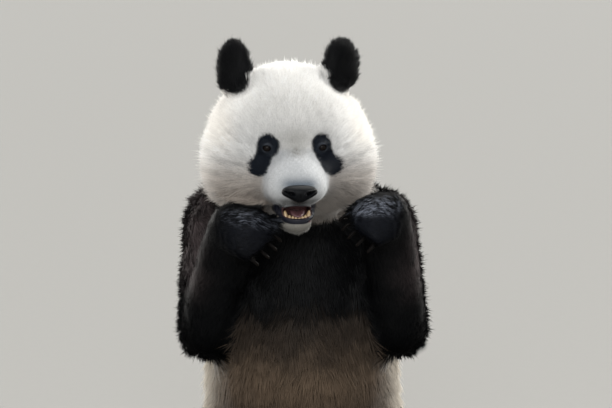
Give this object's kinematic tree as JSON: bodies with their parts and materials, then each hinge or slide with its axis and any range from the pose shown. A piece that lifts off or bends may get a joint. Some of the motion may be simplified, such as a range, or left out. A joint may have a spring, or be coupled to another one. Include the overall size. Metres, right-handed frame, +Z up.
{
  "type": "giant panda model",
  "caption": "Life-size giant panda, sitting upright with both forepaws raised beside its open mouth, white head and trunk, black ears, eye patches and limbs.",
  "frame": {"origin": "middle of the outline, on the floor", "axes": "+Z up, the face towards -Y, the animal's left side towards +X"},
  "size_m": [0.6866, 0.7786, 0.9424],
  "materials": {
    "white_coat": "dense cream-white hair",
    "belly_coat": "white hair soiled to brown on the belly, black over the chest and shoulders",
    "black_coat": "dense black hair with a faint blue sheen",
    "eye": "wet dark brown, polished",
    "nose_leather": "moist pebbled bare skin",
    "claw": "smooth horn",
    "tongue": "moist"
  },
  "bodies": {
    "root": {"trunk": "belly_coat", "neck": "white_coat", "head": "white_coat", "lower_jaw": "white_coat", "tongue": "tongue", "nose": "nose_leather", "ear_left": "black_coat", "eye_left": "eye", "upper_arm_left": "black_coat", "forearm_left": "black_coat", "forepaw_left": "black_coat", "thigh_left": "black_coat", "shin_left": "black_coat", "hind_foot_left": "black_coat", "forepaw_left_claw_1": "claw", "forepaw_left_claw_2": "claw", "forepaw_left_claw_3": "claw", "forepaw_left_claw_4": "claw", "forepaw_left_claw_5": "claw", "hind_foot_left_claw_1": "claw", "hind_foot_left_claw_2": "claw", "hind_foot_left_claw_3": "claw", "hind_foot_left_claw_4": "claw", "hind_foot_left_claw_5": "claw", "ear_right": "black_coat", "eye_right": "eye", "upper_arm_right": "black_coat", "forearm_right": "black_coat", "forepaw_right": "black_coat", "thigh_right": "black_coat", "shin_right": "black_coat", "hind_foot_right": "black_coat", "forepaw_right_claw_1": "claw", "forepaw_right_claw_2": "claw", "forepaw_right_claw_3": "claw", "forepaw_right_claw_4": "claw", "forepaw_right_claw_5": "claw", "hind_foot_right_claw_1": "claw", "hind_foot_right_claw_2": "claw", "hind_foot_right_claw_3": "claw", "hind_foot_right_claw_4": "claw", "hind_foot_right_claw_5": "claw", "tail": "white_coat"}
  },
  "joints": []
}
